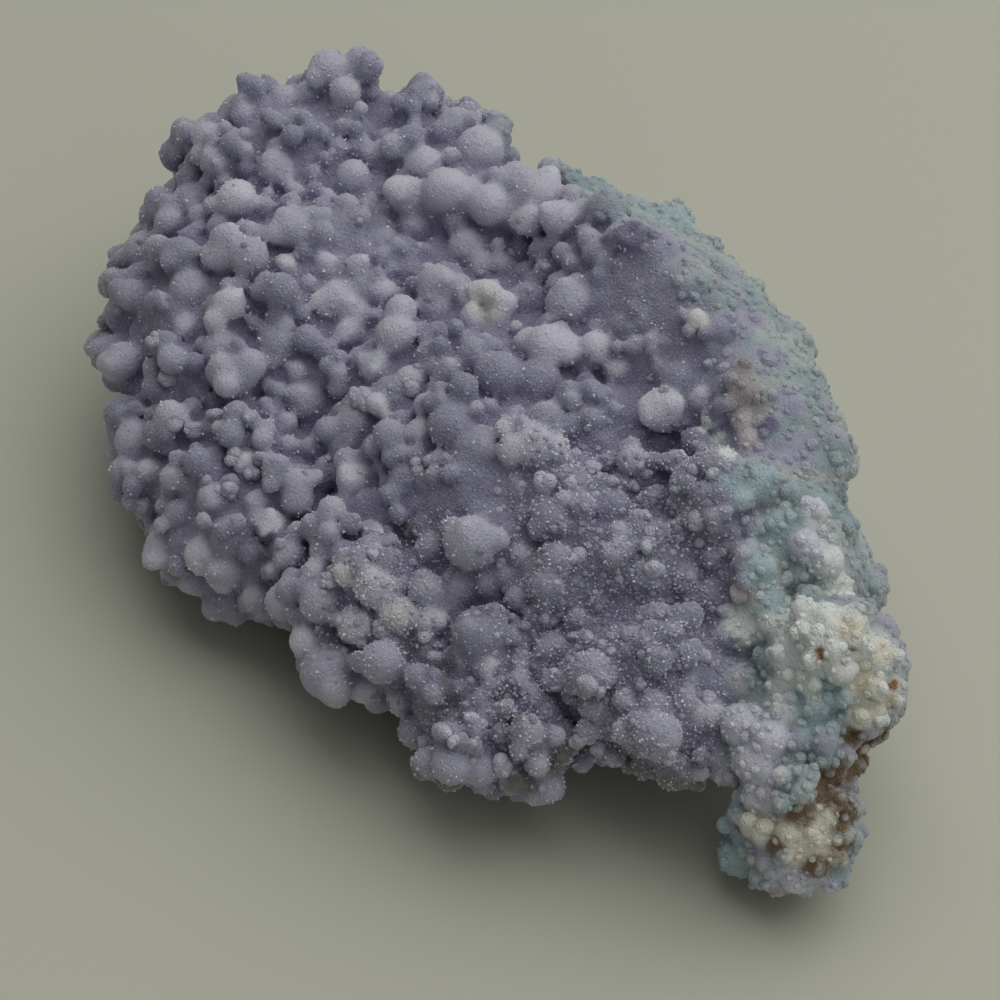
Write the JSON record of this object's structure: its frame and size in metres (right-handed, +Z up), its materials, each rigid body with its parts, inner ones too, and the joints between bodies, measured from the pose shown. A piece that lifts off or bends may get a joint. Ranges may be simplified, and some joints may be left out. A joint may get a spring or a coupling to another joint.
{
  "type": "grape agate specimen",
  "caption": "Loose palm-sized specimen of grape agate: purple botryoidal chalcedony on a thin green and cream rind, with a narrow knobbed end.",
  "frame": {"origin": "under the middle of the stone's bounding box, in the plane of the flat break that it rests on", "axes": "+X along the stone's length towards the knob and the foot, +Y towards the green rind, +Z up"},
  "size_m": [0.0922, 0.0548, 0.0298],
  "materials": {
    "agate": "frosted, slightly translucent; purple to lilac grapes, with a pale green and cream rind that is stained brown at the knob and the foot"
  },
  "bodies": {
    "root": {"grape_agate": "agate"}
  },
  "joints": []
}
